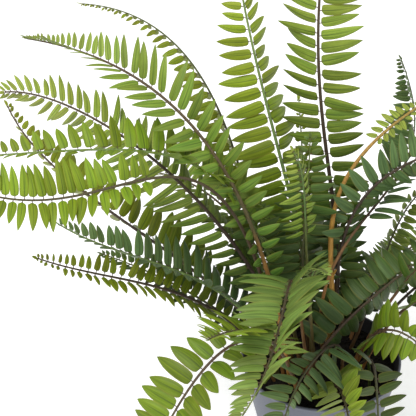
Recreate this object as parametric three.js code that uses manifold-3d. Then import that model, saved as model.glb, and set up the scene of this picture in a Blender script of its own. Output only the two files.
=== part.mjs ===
// A sword fern in a plain tapered pot. Millimetres, +Z up.
// The origin is on the ground, in the middle of the pot's flat underside; the front faces -Y.
import * as THREE from 'three';
import Module from 'manifold-3d';

const wasm = await Module();
wasm.setup();

// Pot: a plain cone with a rolled rim
const potHeight = 140;
const rimRadius = 80;
const footRadius = 48;
const wallThickness = 3;
const floorThickness = 5;
const rimRound = 1.5;
const potSides = 48;

// Soil: fills the pot to a little below the rim, slightly mounded
const soilTop = 126;
const soilMound = 3;
const fitGap = 0.35;

// Stalks: a four-sided rib that tapers from the root to the tip
const stalkWide = 2.0;
const stalkThin = 0.55;
const stalkFlat = 0.8;
const rootHeight = 118;
const stalkSteps = 7;
const holeClearance = 0.9;
const holeLength = 40;
const stubLength = 13;

// Leaflets: thin arched blades, widest from rearShare to frontShare of their length
const bladeThickness = 0.8;
const bladeArch = 1.6;
const rearShare = 0.4;
const frontShare = 0.55;
const tipSweep = 40;

// Clearances that the leaflets keep from each other, the stalks, the pot and the ground
const bladeClearance = 2.7;
const stalkMargin = 1.8;
const potMargin = 3;
const groundClearance = 12;
const sampleStep = 2.2;
const cellSize = 5;

const tones = {
  light: { color: 0x86a83a, roughness: 0.55 },
  mid: { color: 0x5d8a34, roughness: 0.55 },
  dark: { color: 0x2f5232, roughness: 0.6 },
  stalk: { color: 0xb98a45, roughness: 0.6 },
};

// Each frond is a cubic curve: its root on the soil, the handles rise and arch, and its tip.
// leaflet is its longest blade, pairs how many pairs it has, bare the share of stalk without any.
// roll and twist turn the blades about the stalk, fold lifts both rows, sweep leans them forward.
// foot is the lowest leaflet's share of the longest one, grow how fast they lengthen above it,
// slim how fast they shorten towards the tip, crowd how much closer they stand there, hug how far
// one row leans along the stalk, and thick makes a stalk thicker than the others.
const fronds = [
  { name: 'frond_01', root: [-30, -26], rise: [-60, -40, 335], arch: [-105, -10, 480], tip: [-290, 110, 440],
    leaflet: 43, pairs: 19, bare: 0.27, roll: -128, twist: -54, fold: 34, sweep: 18, heading: -101,
    foot: 0.42, grow: 1.1, crowd: 1.9, tone: 'mid' },
  { name: 'frond_02', root: [-24, -4], rise: [-74, -58, 386], arch: [-254, 68, 423], tip: [-308, 47, 416],
    leaflet: 46, pairs: 19, bare: 0.3, roll: -4, twist: -66, fold: -43, sweep: 11, foot: 0.5,
    slim: 0.6, tone: 'mid' },
  { name: 'frond_03', root: [-16, 6], rise: [-85, 10, 420], arch: [-125, -30, 410], tip: [-350, -30, 395],
    leaflet: 35, pairs: 17, bare: 0.3, roll: 0, twist: 0, fold: 29, sweep: 2, tone: 'light' },
  { name: 'frond_04', root: [-36, -18], rise: [-103, -41, 580], arch: [-191, -77, 288], tip: [-348, -98, 430],
    leaflet: 33, pairs: 12, bare: 0.62, roll: 5, twist: -53, fold: 26, sweep: 0, foot: 0.45,
    slim: 0.55, tone: 'light' },
  { name: 'frond_05', root: [-34, 4], rise: [-85, 10, 250], arch: [-275, 60, 285], tip: [-315, 140, 355],
    leaflet: 38, pairs: 15, bare: 0.3, roll: -44, twist: 17, fold: -60, sweep: 7, heading: 93,
    tone: 'light' },
  { name: 'frond_06', root: [-42, -10], rise: [-70, -30, 285], arch: [-185, -20, 260], tip: [-255, -20, 320],
    leaflet: 38, pairs: 15, bare: 0.22, roll: 5, twist: 0, fold: 28, sweep: 6, tone: 'dark' },
  { name: 'frond_07', root: [-44, -22], rise: [-95, -15, 260], arch: [-195, -40, 255], tip: [-270, -80, 325],
    leaflet: 24, pairs: 16, bare: 0.25, roll: -3, twist: -29, fold: 24, sweep: -26, tone: 'light' },
  { name: 'frond_08', root: [-38, 14], rise: [-90, 20, 180], arch: [-150, 40, 210], tip: [-225, 60, 225],
    leaflet: 30, pairs: 12, bare: 0.25, roll: 0, twist: 0, fold: 15, sweep: 10, tone: 'dark' },
  { name: 'frond_09', root: [-20, -33], rise: [-85, -80, 335], arch: [-150, -165, 205], tip: [-195, -150, 65],
    leaflet: 42, pairs: 14, bare: 0.34, roll: -8, twist: 0, fold: 18, sweep: -2, tone: 'light' },
  { name: 'frond_10', root: [-11, -33], rise: [-49, -11, 388], arch: [-28, -131, 260], tip: [-93, -240, 268],
    leaflet: 43, pairs: 14, bare: 0.34, roll: -28, twist: 74, fold: 29, sweep: 10, heading: -84,
    hug: -70, tone: 'light' },
  { name: 'frond_11', root: [-24, -48], rise: [-40, -75, 250], arch: [-90, -120, 280], tip: [-115, -215, 340],
    leaflet: 38, pairs: 10, bare: 0.3, roll: 0, twist: 0, fold: 20, sweep: 12, tone: 'light' },
  { name: 'frond_12', root: [-9, 1], rise: [-5, 30, 265], arch: [-65, 70, 370], tip: [-90, 110, 540],
    leaflet: 45, pairs: 17, bare: 0.24, roll: -7, twist: 4, fold: -37, sweep: -15, heading: 119,
    foot: 1, tone: 'light' },
  { name: 'frond_13', root: [-6, 40], rise: [-15, 60, 240], arch: [-20, 90, 325], tip: [-25, 120, 375],
    leaflet: 9, pairs: 12, bare: 0.45, roll: 0, twist: 0, fold: 15, sweep: 10, heading: 95,
    tone: 'light' },
  { name: 'frond_14', root: [10, 35], rise: [40, 52, 290], arch: [-44, 74, 380], tip: [3, 100, 620],
    leaflet: 46, pairs: 18, bare: 0.2, roll: -9, twist: -50, fold: -7, sweep: 0, heading: 102,
    foot: 0.65, slim: 0.4, grow: 0.5, tone: 'mid' },
  { name: 'frond_15', root: [-22, 18], rise: [-85, 50, 240], arch: [-65, 120, 465], tip: [-245, 200, 430],
    leaflet: 27, pairs: 16, bare: 0.2, roll: 15, twist: 0, fold: -50, sweep: 6, foot: 1, slim: 1.7,
    tone: 'light' },
  { name: 'frond_16', root: [-4, -12], rise: [-31, -20, 322], arch: [-19, -42, 393], tip: [-43, -34, 412],
    leaflet: 25, pairs: 8, bare: 0.64, roll: 0, twist: 108, fold: -36, sweep: -30, heading: 40,
    foot: 1, slim: 1, tone: 'mid' },
  { name: 'frond_17', root: [0, -5], rise: [32, 7, 252], arch: [-53, -15, 341], tip: [91, 66, 396],
    leaflet: 18, pairs: 5, bare: 0.82, roll: 0, twist: 0, fold: 15, sweep: -20, heading: 20,
    thick: 2.0, tone: 'stalk' },
  { name: 'frond_18', root: [6, 25], rise: [-46, -98, 403], arch: [155, 162, 210], tip: [74, 146, 403],
    leaflet: 38, pairs: 13, bare: 0.5, roll: -69, twist: -35, fold: 60, sweep: -9, heading: 151,
    foot: 0.9, slim: 1.4, tone: 'dark' },
  { name: 'frond_19', root: [4, 5], rise: [29, 25, 237], arch: [-39, -24, 394], tip: [190, 86, 344],
    leaflet: 34, pairs: 14, bare: 0.32, roll: 12, twist: 8, fold: -14, sweep: 7, heading: 109,
    tone: 'dark' },
  { name: 'frond_20', root: [28, 24], rise: [62, 38, 192], arch: [63, 78, 289], tip: [126, 88, 296],
    leaflet: 21, pairs: 11, bare: 0.26, roll: 8, twist: 21, fold: -17, sweep: 0, heading: -6,
    tone: 'mid' },
  { name: 'frond_21', root: [-12, -46], rise: [-40, -60, 188], arch: [48, -8, 228], tip: [148, 70, 254],
    leaflet: 38, pairs: 14, bare: 0.26, roll: 64, twist: -20, fold: -44, sweep: 0, heading: 50,
    foot: 1, tone: 'dark' },
  { name: 'frond_22', root: [28, -6], rise: [40, -17, 194], arch: [62, -42, 238], tip: [109, -75, 185],
    leaflet: 29, pairs: 9, bare: 0.35, roll: 20, twist: 71, fold: 17, sweep: -4, heading: -77,
    tone: 'light' },
  { name: 'frond_23', root: [14, -46], rise: [4, -48, 175], arch: [18, -85, 165], tip: [19, -135, 159],
    leaflet: 30, pairs: 9, bare: 0.25, roll: 120, twist: -120, fold: 15, sweep: -13, heading: -143,
    foot: 1, tone: 'light' },
  { name: 'frond_24', root: [24, -18], rise: [56, -24, 195], arch: [42, -74, 192], tip: [58, -88, 60],
    leaflet: 34, pairs: 10, bare: 0.25, roll: -76, twist: 20, fold: 9, sweep: -10, heading: -122,
    foot: 1, tone: 'dark' },
  { name: 'frond_25', root: [14, -33], rise: [36, -26, 245], arch: [-42, -85, 195], tip: [-46, -128, 140],
    leaflet: 40, pairs: 11, bare: 0.38, roll: 53, twist: -78, fold: -51, sweep: -10, heading: -79,
    foot: 1, tone: 'dark' },
  { name: 'frond_26', root: [16, 44], rise: [38, 72, 165], arch: [60, 105, 180], tip: [85, 150, 140],
    leaflet: 34, pairs: 9, bare: 0.25, roll: 0, twist: 0, fold: 18, sweep: 8, tone: 'dark' },
  { name: 'frond_27', root: [-6, -22], rise: [-15, -25, 230], arch: [-30, -60, 320], tip: [-5, -105, 320],
    leaflet: 16, pairs: 11, bare: 0.62, roll: 0, twist: 0, fold: 15, sweep: 10, heading: -75,
    tone: 'light' },
  { name: 'frond_28', root: [36, 6], rise: [80, 15, 300], arch: [190, -20, 370], tip: [320, -70, 330],
    leaflet: 40, pairs: 15, bare: 0.28, roll: 0, twist: 0, fold: 15, sweep: 8, tone: 'mid' },
  { name: 'frond_29', root: [38, -8], rise: [85, -15, 320], arch: [185, -110, 300], tip: [270, -170, 180],
    leaflet: 40, pairs: 15, bare: 0.28, roll: 0, twist: 0, fold: 15, sweep: 8, tone: 'light' },
  { name: 'frond_30', root: [38, 16], rise: [80, 40, 220], arch: [200, 80, 270], tip: [300, 110, 200],
    leaflet: 38, pairs: 13, bare: 0.25, roll: 0, twist: 0, fold: 15, sweep: 8, tone: 'mid' },
  { name: 'frond_31', root: [-2, 48], rise: [0, 80, 220], arch: [5, 170, 250], tip: [20, 270, 160],
    leaflet: 38, pairs: 12, bare: 0.25, roll: 0, twist: 0, fold: 15, sweep: 8, tone: 'dark' },
  { name: 'frond_32', root: [-20, 36], rise: [-50, 80, 230], arch: [-120, 170, 270], tip: [-210, 250, 190],
    leaflet: 38, pairs: 13, bare: 0.25, roll: 0, twist: 0, fold: 15, sweep: 8, tone: 'mid' },
  { name: 'frond_33', root: [30, 34], rise: [45, 70, 175], arch: [100, 150, 175], tip: [165, 262, 110],
    leaflet: 30, pairs: 13, bare: 0.25, roll: 0, twist: 0, fold: 15, sweep: 8, tone: 'mid' },
  { name: 'frond_34', root: [-12, -15], rise: [-66, 3, 259], arch: [-74, 13, 318], tip: [-85, 12, 338],
    leaflet: 34, pairs: 8, bare: 0.36, roll: 0, twist: 0, fold: 8, sweep: 4, heading: 95, foot: 1,
    tone: 'dark' },
  { name: 'frond_35', root: [9, 14], rise: [12, 14, 200], arch: [16, 20, 255], tip: [12, 28, 290],
    leaflet: 30, pairs: 8, bare: 0.35, roll: 0, twist: 0, fold: 14, sweep: 4, heading: 85, foot: 1,
    tone: 'dark' },
  { name: 'frond_36', root: [-9, 18], rise: [-30, 16, 282], arch: [-18, 14, 263], tip: [-20, 12, 398],
    leaflet: 36, pairs: 12, bare: 0.2, roll: 0, twist: 0, fold: 10, sweep: 0, heading: 92, foot: 1,
    tone: 'dark' },
];

const rad = THREE.MathUtils.degToRad;

function meshOf(name, geometry, material) {
  const mesh = new THREE.Mesh(geometry, new THREE.MeshStandardMaterial(material));
  mesh.name = name;
  return mesh;
}

// The part of a solid that manifold-3d needs: shared corners only, and no normals
function solidOf(geometry) {
  const position = geometry.getAttribute('position');
  const lookup = new Map();
  const corners = [];
  const ids = [];
  for (let i = 0; i < position.count; i++) {
    const p = [position.getX(i), position.getY(i), position.getZ(i)];
    const key = p.map((v) => Math.round(v * 1e4)).join(',');
    if (!lookup.has(key)) {
      lookup.set(key, corners.length / 3);
      corners.push(...p);
    }
    ids.push(lookup.get(key));
  }
  const order = geometry.index ? Array.from(geometry.index.array) : ids.map((_, i) => i);
  const triangles = [];
  for (let i = 0; i < order.length; i += 3) {
    const [a, b, c] = [ids[order[i]], ids[order[i + 1]], ids[order[i + 2]]];
    if (a !== b && b !== c && c !== a) triangles.push(a, b, c);
  }
  return new wasm.Manifold(new wasm.Mesh({
    numProp: 3,
    vertProperties: new Float32Array(corners),
    triVerts: new Uint32Array(triangles),
  }));
}

function geometryOf(solid) {
  const { vertProperties, triVerts } = solid.getMesh();
  const geometry = new THREE.BufferGeometry();
  geometry.setAttribute('position', new THREE.BufferAttribute(new Float32Array(vertProperties), 3));
  geometry.setIndex(Array.from(triVerts));
  geometry.computeVertexNormals();
  return geometry;
}

// A lathe about +Z from [radius, height] points
function turned(points) {
  const profile = points.map(([r, z]) => new THREE.Vector2(r, z));
  return new THREE.LatheGeometry(profile, potSides).rotateX(Math.PI / 2);
}

// The pot's wall at height z
const outerRadius = (z) => footRadius + (rimRadius - footRadius) * z / potHeight;
const innerRadius = (z) => outerRadius(z) - wallThickness;

function potGeometry() {
  const rim = [0, 45, 90, 135, 180].map((degrees) => [
    outerRadius(potHeight) - rimRound + rimRound * Math.cos(rad(degrees)),
    potHeight - rimRound + rimRound * Math.sin(rad(degrees)),
  ]);
  return geometryOf(solidOf(turned([
    [0, 0], [footRadius, 0], ...rim, [innerRadius(floorThickness), floorThickness], [0, floorThickness],
  ])));
}

// The curve and the frame of one frond
class Frond {
  constructor(row) {
    Object.assign(this, { foot: 0.7, grow: 1.3, slim: 1, crowd: 1.25, hug: 0, thick: 1 }, row);
    const root = new THREE.Vector3(row.root[0], row.root[1], rootHeight);
    const [rise, arch, tip] = [row.rise, row.arch, row.tip].map((p) => new THREE.Vector3(...p));
    this.curve = new THREE.CubicBezierCurve3(root, rise, arch, tip);
    const heading = row.heading === undefined
      ? Math.atan2(tip.y - root.y, tip.x - root.x) : rad(row.heading);
    this.level = new THREE.Vector3(-Math.sin(heading), Math.cos(heading), 0);
    this.length = this.curve.getLength();
  }

  // Where the stalk is at share u of its length, which way it runs, its side and its upper face
  frame(u) {
    const at = this.curve.getPointAt(u);
    const along = this.curve.getTangentAt(u);
    const side = this.level.clone().addScaledVector(along, -along.dot(this.level)).normalize();
    side.applyAxisAngle(along, rad(this.roll + this.twist * u));
    const face = along.clone().cross(side);
    return { at, along, side, face };
  }

  halfWidth(u) {
    return this.thick * THREE.MathUtils.lerp(stalkWide, stalkThin, Math.pow(u, 0.8));
  }

  // Share of the length at which pair number i begins: the pairs crowd towards the tip
  station(i) {
    const lastStation = 0.985;
    return this.bare + (lastStation - this.bare) * (1 - Math.pow(1 - i / this.pairs, this.crowd));
  }

  // Length of a leaflet at share w of the leafy stretch: longest near the foot, short at the tip
  leafletLength(w) {
    const taper = Math.sin(Math.PI / 2 * Math.min(1, (1 - w) / 0.62));
    const grown = Math.min(1, this.foot + this.grow * w);
    return this.leaflet * grown * (0.12 + 0.88 * Math.pow(taper, this.slim));
  }
}

// What already stands where, in cells of space, so that nothing is grown through it
class Thicket {
  constructor(cell) {
    this.cell = cell;
    this.cells = new Map();
  }

  key(x, y, z) {
    return `${Math.floor(x / this.cell)},${Math.floor(y / this.cell)},${Math.floor(z / this.cell)}`;
  }

  add(point, owner, reach) {
    const key = this.key(point.x, point.y, point.z);
    if (!this.cells.has(key)) this.cells.set(key, []);
    this.cells.get(key).push({ point, owner, reach });
  }

  blocked(point, owner) {
    for (let i = -1; i <= 1; i++) {
      for (let j = -1; j <= 1; j++) {
        for (let k = -1; k <= 1; k++) {
          const c = this.cell;
          const near = this.cells.get(this.key(point.x + i * c, point.y + j * c, point.z + k * c));
          if (!near) continue;
          for (const other of near) {
            if (other.owner !== owner && other.point.distanceTo(point) < other.reach) return true;
          }
        }
      }
    }
    return false;
  }
}

const thicket = new Thicket(cellSize);

// Whether a point lies in the pot's wall, its soil or too near the ground
function inPot(point) {
  const radius = Math.hypot(point.x, point.y);
  const z = point.z;
  if (z < groundClearance) return true;
  if (z > potHeight + potMargin) return false;
  if (radius > outerRadius(z) + potMargin) return false;
  return radius > innerRadius(z) - potMargin || z < soilTop + soilMound + potMargin;
}

// The flat frame of one leaflet: where it springs from, and its directions out, across and up
function bladeFrame(frond, u, w, sideSign, extraFold) {
  const { at, along, side, face } = frond.frame(u);
  const fold = rad(frond.fold + extraFold);
  const hug = sideSign > 0 ? frond.hug * w : 0;
  const lean = rad(frond.sweep + (tipSweep - frond.sweep) * Math.pow(w, 3) + hug);
  const out = side.clone().multiplyScalar(sideSign * Math.cos(fold)).addScaledVector(face, Math.sin(fold));
  out.multiplyScalar(Math.cos(lean)).addScaledVector(along, Math.sin(lean));
  const across = along.clone().addScaledVector(out, -along.dot(out)).normalize();
  const above = face.clone().addScaledVector(out, -face.dot(out));
  above.addScaledVector(across, -above.dot(across)).normalize();
  const from = at.clone().addScaledVector(side, sideSign * frond.halfWidth(u));
  return { from, out, across, above };
}

const onBlade = (b, length, width, a, c, lift) => b.from.clone()
  .addScaledVector(b.out, a * length).addScaledVector(b.across, c * width / 2).addScaledVector(b.above, lift);

// Points spread over a leaflet, for the clearance test
function bladeSamples(blade, length, width, pitch) {
  const samples = [];
  const rows = Math.max(2, Math.ceil(length / sampleStep));
  const columns = Math.max(1, Math.ceil(pitch / 2 / sampleStep));
  for (let i = 0; i <= rows; i++) {
    const a = i / rows;
    const spread = a < rearShare
      ? THREE.MathUtils.lerp(pitch, width, a / rearShare) : width * Math.min(1, 1.9 * (1 - a));
    const lift = a < 0.5 ? 2 * a * bladeArch : bladeArch * (3 - 4 * a);
    for (let j = -columns; j <= columns; j++) {
      samples.push(onBlade(blade, length, spread, a, j / columns, lift));
    }
  }
  return samples;
}

// A leaflet keeps its place if it is free; if not, it is folded clear, then shortened, then left out
const attempts = [];
for (const share of [1, 0.8, 0.6, 0.42]) {
  for (const extraFold of [0, 10, -10, 20, -20, 32, -32, 44, -44]) attempts.push({ share, extraFold });
}

function growLeaflet(frond, i, sideSign) {
  const u = (frond.station(i) + frond.station(i + 1)) / 2;
  const w = (u - frond.bare) / (1 - frond.bare);
  const pitch = (frond.station(i + 1) - frond.station(i)) * frond.length;
  for (const { share, extraFold } of attempts) {
    const blade = bladeFrame(frond, u, w, sideSign, extraFold);
    const length = frond.leafletLength(w) * share;
    const width = Math.min(0.8 * pitch, 0.42 * length);
    const samples = bladeSamples(blade, length, width, pitch);
    if (!samples.some((p) => inPot(p) || thicket.blocked(p, frond.name))) {
      for (const p of samples) thicket.add(p, frond.name, bladeClearance);
      return { blade, length, width };
    }
  }
  return null;
}

// One closed solid: a four-sided rib with its leaflets drawn straight out of its two sides
function frondGeometry(frond, leaflets) {
  const positions = [];
  const triangles = [];
  const vertex = (p) => {
    positions.push(p.x, p.y, p.z);
    return positions.length / 3 - 1;
  };
  const face = (...ids) => triangles.push(...ids);

  function ring(u) {
    const { at, side, face: upper } = frond.frame(u);
    const half = frond.halfWidth(u);
    const corner = (s, t) => vertex(
      at.clone().addScaledVector(side, s * half).addScaledVector(upper, t * half * stalkFlat));
    return {
      leftTop: corner(1, 1), leftLow: corner(1, -1), rightLow: corner(-1, -1), rightTop: corner(-1, 1),
    };
  }

  const shares = [];
  for (let i = 0; i < stalkSteps; i++) shares.push(frond.bare * i / stalkSteps);
  for (let i = 0; i <= frond.pairs; i++) shares.push(frond.station(i));
  const rings = shares.map(ring);

  function plainSide(a, b, sideSign) {
    if (sideSign > 0) {
      face(b.leftTop, b.leftLow, a.leftLow, b.leftTop, a.leftLow, a.leftTop);
    } else {
      face(a.rightTop, a.rightLow, b.rightLow, a.rightTop, b.rightLow, b.rightTop);
    }
  }

  function bladeSide(a, b, sideSign, { blade, length, width }) {
    const half = bladeThickness / 2;
    const pair = (along, across, lift) => [
      vertex(onBlade(blade, length, width, along, across, lift + half)),
      vertex(onBlade(blade, length, width, along, across, lift - half)),
    ];
    const rear = pair(rearShare, -1, bladeArch);
    const front = pair(frontShare, 1, bladeArch);
    const tip = vertex(onBlade(blade, length, width, 1, 0.25, -bladeArch));
    const foot = sideSign > 0 ? [a.leftTop, a.leftLow] : [a.rightTop, a.rightLow];
    const next = sideSign > 0 ? [b.leftTop, b.leftLow] : [b.rightTop, b.rightLow];
    // Seen from above, a left blade runs foot, next, front, tip, rear; a right one the other way
    const outline = sideSign > 0 ? [foot, next, front, rear] : [next, foot, rear, front];
    const [p, q, r, s] = outline;
    face(p[0], q[0], r[0], p[0], r[0], s[0], s[0], r[0], tip);
    face(q[1], p[1], r[1], r[1], p[1], s[1], r[1], s[1], tip);
    face(q[0], q[1], r[1], q[0], r[1], r[0], r[0], r[1], tip);
    face(s[0], s[1], p[1], s[0], p[1], p[0], tip, s[1], s[0]);
  }

  for (let i = 0; i + 1 < rings.length; i++) {
    const [a, b] = [rings[i], rings[i + 1]];
    face(a.rightTop, b.rightTop, b.leftTop, a.rightTop, b.leftTop, a.leftTop);
    face(a.rightLow, b.leftLow, b.rightLow, a.rightLow, a.leftLow, b.leftLow);
    for (const sideSign of [1, -1]) {
      const leaflet = leaflets.get(`${i - stalkSteps},${sideSign}`);
      if (leaflet) bladeSide(a, b, sideSign, leaflet);
      else plainSide(a, b, sideSign);
    }
  }

  const first = rings[0];
  face(first.leftTop, first.leftLow, first.rightLow, first.leftTop, first.rightLow, first.rightTop);
  const last = rings[rings.length - 1];
  const end = vertex(frond.curve.getPointAt(1));
  face(last.rightTop, end, last.leftTop, last.leftTop, end, last.leftLow);
  face(last.leftLow, end, last.rightLow, last.rightLow, end, last.rightTop);

  const geometry = new THREE.BufferGeometry();
  geometry.setAttribute('position', new THREE.BufferAttribute(new Float32Array(positions), 3));
  geometry.setIndex(triangles);
  geometry.computeVertexNormals();
  return geometry;
}

// Two short cut-off shoots on the bare tan stalk
function withStubs(frond, geometry) {
  const stubs = [{ u: 0.36, turn: 150, lean: 25 }, { u: 0.33, turn: 20, lean: 35 }];
  let solid = solidOf(geometry);
  for (const { u, turn, lean } of stubs) {
    const { at, along, side, face } = frond.frame(u);
    const away = side.clone().multiplyScalar(Math.cos(rad(turn))).addScaledVector(face, -Math.sin(rad(turn)));
    const way = along.clone().multiplyScalar(Math.cos(rad(lean))).addScaledVector(away, Math.sin(rad(lean)));
    const cone = new THREE.CylinderGeometry(0.5, 1.5, stubLength, 6);
    cone.translate(0, stubLength / 2, 0);
    cone.applyQuaternion(new THREE.Quaternion().setFromUnitVectors(new THREE.Vector3(0, 1, 0), way));
    cone.translate(at.x, at.y, at.z);
    solid = solid.add(solidOf(cone));
  }
  return geometryOf(solid);
}

// The soil, with a plain hole for each stalk
function soilGeometry(grown) {
  const bottom = floorThickness + fitGap;
  const side = (z) => innerRadius(z) - fitGap;
  let solid = solidOf(turned([
    [0, bottom], [side(bottom), bottom], [side(soilTop), soilTop],
    [side(soilTop) * 0.55, soilTop + soilMound * 0.8], [0, soilTop + soilMound],
  ]));
  for (const frond of grown) {
    const { at, along } = frond.frame(0);
    const reach = frond.halfWidth(0) * Math.SQRT2 + holeClearance;
    const hole = new THREE.CylinderGeometry(reach, reach, holeLength, 6);
    hole.translate(0, holeLength / 2 - fitGap, 0);
    hole.applyQuaternion(new THREE.Quaternion().setFromUnitVectors(new THREE.Vector3(0, 1, 0), along));
    hole.translate(at.x, at.y, at.z);
    solid = solid.subtract(solidOf(hole));
  }
  return geometryOf(solid);
}

const plant = new THREE.Group();
plant.add(meshOf('pot', potGeometry(), { color: 0x5f616e, roughness: 0.7, metalness: 0 }));

const grown = fronds.map((row) => new Frond(row));
for (const frond of grown) {
  const steps = Math.ceil(frond.length / 1.5);
  for (let i = 0; i <= steps; i++) {
    const u = i / steps;
    const reach = frond.halfWidth(u) * Math.hypot(1, stalkFlat) + stalkMargin;
    thicket.add(frond.curve.getPointAt(u), frond.name, reach);
  }
}
plant.add(meshOf('soil', soilGeometry(grown), { color: 0x1d1712, roughness: 1, metalness: 0 }));

for (const frond of grown) {
  const leaflets = new Map();
  for (let i = 0; i < frond.pairs; i++) {
    for (const sideSign of [1, -1]) {
      leaflets.set(`${i},${sideSign}`, growLeaflet(frond, i, sideSign));
    }
  }
  let geometry = frondGeometry(frond, leaflets);
  if (frond.name === 'frond_17') geometry = withStubs(frond, geometry);
  plant.add(meshOf(frond.name, geometry, { ...tones[frond.tone], metalness: 0 }));
}

export default plant;
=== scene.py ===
# A sword fern in a plain round pot, in metres and in the part's own frame.
# +Z is up, the front faces -Y, and the origin lies under the middle of the pot.
import math
import random

import bpy
import numpy as np
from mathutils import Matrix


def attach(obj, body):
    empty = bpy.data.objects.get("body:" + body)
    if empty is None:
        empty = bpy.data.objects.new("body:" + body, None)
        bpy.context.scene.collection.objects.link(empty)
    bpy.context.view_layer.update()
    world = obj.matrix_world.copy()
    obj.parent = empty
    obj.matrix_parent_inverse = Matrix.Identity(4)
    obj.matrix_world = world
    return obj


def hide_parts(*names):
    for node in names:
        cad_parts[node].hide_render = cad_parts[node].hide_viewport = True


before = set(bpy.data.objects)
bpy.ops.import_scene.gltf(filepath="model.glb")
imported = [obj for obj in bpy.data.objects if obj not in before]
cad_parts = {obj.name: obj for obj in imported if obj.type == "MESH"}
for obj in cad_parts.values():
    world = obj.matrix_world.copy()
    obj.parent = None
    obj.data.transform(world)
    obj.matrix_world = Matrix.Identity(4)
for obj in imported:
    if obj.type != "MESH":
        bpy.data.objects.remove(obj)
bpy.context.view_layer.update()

mm = 0.001


# Small helpers for colours, nodes and meshes

def colour(code):
    # "8fa154" as it is seen on a screen, turned into the linear values that sockets take
    parts = [int(code[i:i + 2], 16) / 255 for i in (0, 2, 4)]
    return [c / 12.92 if c <= 0.04045 else ((c + 0.055) / 1.055) ** 2.4 for c in parts] + [1.0]


def newFinish(name):
    finish = bpy.data.materials.new(name)
    finish.use_nodes = True
    return finish, finish.node_tree, finish.node_tree.nodes["Principled BSDF"]


def addNode(tree, kind, inputs=None, **settings):
    node = tree.nodes.new(kind)
    for key, value in settings.items():
        setattr(node, key, value)
    for key, value in (inputs or {}).items():
        if isinstance(value, bpy.types.NodeSocket):
            tree.links.new(value, node.inputs[key])
        else:
            node.inputs[key].default_value = value
    return node


def sums(tree, operation, first, second=0.0, third=0.0):
    # One Math node. Each input is a number or another node's output
    node = addNode(tree, "ShaderNodeMath", {0: first, 1: second, 2: third}, operation=operation)
    return node.outputs[0]


def rescale(tree, value, low, high, newLow, newHigh, smooth=False):
    node = addNode(tree, "ShaderNodeMapRange", {
        "Value": value, "From Min": low, "From Max": high, "To Min": newLow, "To Max": newHigh,
    }, interpolation_type="SMOOTHSTEP" if smooth else "LINEAR")
    return node.outputs["Result"]


def mixColour(tree, share, tone, code, blend="MIX"):
    node = addNode(tree, "ShaderNodeMix", {0: share, 6: tone, 7: colour(code)},
                   data_type="RGBA", blend_type=blend)
    return node.outputs[2]


def noise(tree, coordinate, scale, detail=3.0, roughness=0.55):
    node = addNode(tree, "ShaderNodeTexNoise", {
        "Vector": coordinate, "Scale": scale, "Detail": detail, "Roughness": roughness,
    })
    return node.outputs["Fac"]


def ramp(tree, value, stops):
    node = addNode(tree, "ShaderNodeValToRGB", {"Fac": value})
    band = node.color_ramp
    for place, code in stops[1:-1]:
        band.elements.new(place).color = colour(code)
    for end in (0, -1):
        band.elements[end].position = stops[end][0]
        band.elements[end].color = colour(stops[end][1])
    return node.outputs["Color"]


def vertexValue(tree, name):
    return addNode(tree, "ShaderNodeAttribute", attribute_name=name).outputs["Fac"]


def dress(tree, shader, tone, roughness, specular, height, strength, depth):
    # Joins colour, roughness and a bump to the shader
    tree.links.new(tone, shader.inputs["Base Color"])
    tree.links.new(roughness, shader.inputs["Roughness"])
    shader.inputs["Specular IOR Level"].default_value = specular
    bump = addNode(tree, "ShaderNodeBump", {"Height": height, "Strength": strength, "Distance": depth})
    tree.links.new(bump.outputs["Normal"], shader.inputs["Normal"])


def makePiece(name, points, faces, finish, sharpAngle=None):
    mesh = bpy.data.meshes.new(name)
    mesh.from_pydata(points, [], faces)
    mesh.update()
    mesh.polygons.foreach_set("use_smooth", [True] * len(mesh.polygons))
    if sharpAngle:
        mesh.set_sharp_from_angle(angle=math.radians(sharpAngle))
    mesh.materials.append(finish)
    piece = bpy.data.objects.new(name, mesh)
    bpy.context.collection.objects.link(piece)
    return piece


def giveValues(piece, name, values):
    layer = piece.data.attributes.new(name, "FLOAT", "POINT")
    layer.data.foreach_set("value", np.asarray(values, dtype=np.float32))


def turnedRings(profile, segments):
    # Rings about +Z from (radius, height) pairs, closed on the axis at both ends
    points, faces = [(0.0, 0.0, profile[0][1])], []
    for radius, height in profile[1:-1]:
        for k in range(segments):
            turn = 2 * math.pi * k / segments
            points.append((radius * math.cos(turn), radius * math.sin(turn), height))
    points.append((0.0, 0.0, profile[-1][1]))
    rings = len(profile) - 2

    def at(ring, k):
        return 1 + ring * segments + k % segments

    for k in range(segments):
        faces.append((0, at(0, k + 1), at(0, k)))
        for ring in range(rings - 1):
            faces.append((at(ring, k), at(ring, k + 1), at(ring + 1, k + 1), at(ring + 1, k)))
        faces.append((at(rings - 1, k), at(rings - 1, k + 1), len(points) - 1))
    return points, faces


# The pot

pot = {
    "height": 140 * mm, "rimRadius": 80 * mm, "footRadius": 48 * mm,
    "wall": 3 * mm, "floor": 5 * mm, "rimRound": 1.5 * mm, "footRound": 1.2 * mm,
    "segments": 160,
    "colour": "5f6370", "paleColour": "6b6f7c", "darkColour": "535764", "speckColour": "8a8e99",
    "roughness": 0.5, "specular": 0.4,
    # How strongly painted shade darkens the inside of the pot, and its colour
    "insideShade": 0.8, "insideShadeColour": "1c1814",
}


def potWall(height):
    return pot["footRadius"] + (pot["rimRadius"] - pot["footRadius"]) * height / pot["height"]


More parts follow.
